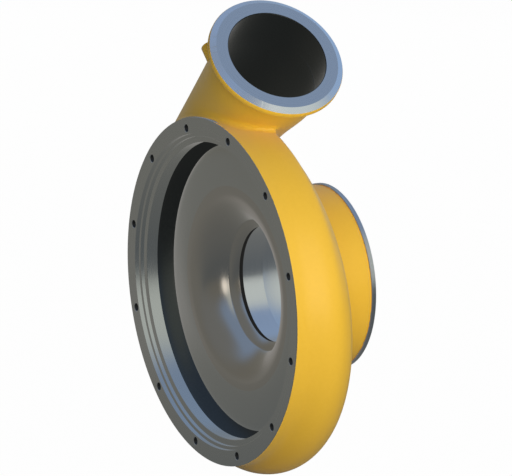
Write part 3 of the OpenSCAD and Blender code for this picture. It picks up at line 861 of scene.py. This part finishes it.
# The sky is white to the camera and a weak fill to the paint. The metal mirrors a grey room in it, with
# blue sky through the roof and behind, and a bright window at the right.
SKY_FILL = 0.24
world = bpy.data.worlds.new("white sky")
bpy.context.scene.world = world
world.use_nodes = True
put, link = world.node_tree.nodes.new, world.node_tree.links.new
sky = world.node_tree.nodes["Background"]
path = put("ShaderNodeLightPath")
seen = put("ShaderNodeMath")
seen.operation = "MAXIMUM"
seen_too = put("ShaderNodeMath")
seen_too.operation = "MAXIMUM"
level = put("ShaderNodeMapRange")
level.inputs["To Min"].default_value = SKY_FILL
level.inputs["To Max"].default_value = 1.0
link(path.outputs["Is Camera Ray"], seen.inputs[0])
link(path.outputs["Is Glossy Ray"], seen.inputs[1])
link(seen.outputs[0], seen_too.inputs[0])
link(path.outputs["Is Transmission Ray"], seen_too.inputs[1])
link(seen_too.outputs[0], level.inputs["Value"])
link(level.outputs["Result"], sky.inputs["Strength"])

toward = put("ShaderNodeTexCoord").outputs["Generated"]
split = put("ShaderNodeSeparateXYZ")
link(toward, split.inputs[0])


def blend(factor, first, second):
    """Colour between two colours, which may be values or sockets."""
    mix = put("ShaderNodeMix")
    mix.data_type = "RGBA"
    for socket, value in ((mix.inputs["Factor"], factor), (mix.inputs[6], first), (mix.inputs[7], second)):
        if isinstance(value, tuple):
            socket.default_value = (*value, 1)
        else:
            link(value, socket)
    return mix.outputs[2]


def ease(value, low, high):
    step = put("ShaderNodeMapRange")
    step.interpolation_type = "SMOOTHSTEP"
    step.inputs["From Min"].default_value = low
    step.inputs["From Max"].default_value = high
    link(value, step.inputs["Value"])
    return step.outputs["Result"]


def near(direction, wide, tight):
    """Mask round a direction: 0 outside the wide angle, 1 inside the tight one, in degrees."""
    dot = put("ShaderNodeVectorMath")
    dot.operation = "DOT_PRODUCT"
    dot.inputs[1].default_value = Vector(direction).normalized()
    link(toward, dot.inputs[0])
    return ease(dot.outputs["Value"], math.cos(math.radians(wide)), math.cos(math.radians(tight)))


room = blend(ease(split.outputs["Z"], 0.30, 0.72), (0.235, 0.23, 0.205), (0.30, 0.40, 0.58))
room = blend(near((-0.2, -0.85, 0.5), 50, 15), room, (0.25, 0.26, 0.26))
room = blend(near((-0.2, 1.0, 0.05), 65, 25), room, (0.34, 0.48, 0.70))
room = blend(near((0.80, 0.42, 0.42), 40, 10), room, (0.70, 0.74, 0.70))
room = blend(near((0.98, -0.12, 0.17), 17, 6), room, (1.7, 1.6, 1.45))
mirrored = blend(path.outputs["Is Glossy Ray"], (0.90, 1.0, 1.08), room)
link(blend(path.outputs["Is Camera Ray"], mirrored, (1.0, 1.0, 1.0)), sky.inputs["Color"])


# The lamps: a large soft box at the right lights the paint, and a weak one behind fills the back. They
# are hidden from the metal, which mirrors the room alone.
def soft_box(name, direction, distance, size, watts, colour):
    lamp = bpy.data.lights.new(name, "AREA")
    lamp.shape = "RECTANGLE"
    lamp.size, lamp.size_y = size
    lamp.energy = watts
    lamp.color = colour
    item = bpy.data.objects.new(name, lamp)
    bpy.context.scene.collection.objects.link(item)
    away = Vector(direction).normalized()
    item.location = away * distance
    item.rotation_euler = away.to_track_quat("Z", "Y").to_euler()
    item.visible_glossy = False


soft_box("key box", direction=(0.92, -0.10, 0.30), distance=1.6, size=(1.5, 1.5), watts=22.5,
         colour=(1.0, 0.97, 0.92))
soft_box("back fill", direction=(-0.72, 0.60, 0.35), distance=1.8, size=(1.6, 1.6), watts=9.0,
         colour=(0.95, 0.98, 1.0))


# The photograph's view: a very long lens, a little above the shaft and well round to the outlet side.
# The flange's radius and the middle of its face were measured in the picture, in pixels.
AZIMUTH, ELEVATION = math.radians(60.98), math.radians(14.563)
PIXELS_PER_FLANGE_R = 175.97
ORIGIN_PX = (211.37, 292.06)
PICTURE_PX = (512, 476)
LENS, SENSOR = 1000.0, 36.0
back = Vector((math.sin(AZIMUTH) * math.cos(ELEVATION), -math.cos(AZIMUTH) * math.cos(ELEVATION),
               math.sin(ELEVATION)))
metres_per_px = FLANGE_R / PIXELS_PER_FLANGE_R
camera = bpy.data.objects.new("camera", bpy.data.cameras.new("camera"))
bpy.context.scene.collection.objects.link(camera)
camera.data.lens = LENS
camera.data.sensor_width = SENSOR
camera.data.clip_end = 100.0
camera.rotation_euler = back.to_track_quat("Z", "Y").to_euler()
turn = camera.rotation_euler.to_matrix()
right, up = turn @ Vector((1, 0, 0)), turn @ Vector((0, 1, 0))
far = metres_per_px * PICTURE_PX[0] * LENS / SENSOR
shift_x, shift_y = PICTURE_PX[0] / 2 - ORIGIN_PX[0], PICTURE_PX[1] / 2 - ORIGIN_PX[1]
camera.location = (right * shift_x - up * shift_y) * metres_per_px + back * far
bpy.context.scene.camera = camera
bpy.context.scene.view_settings.view_transform = "Standard"
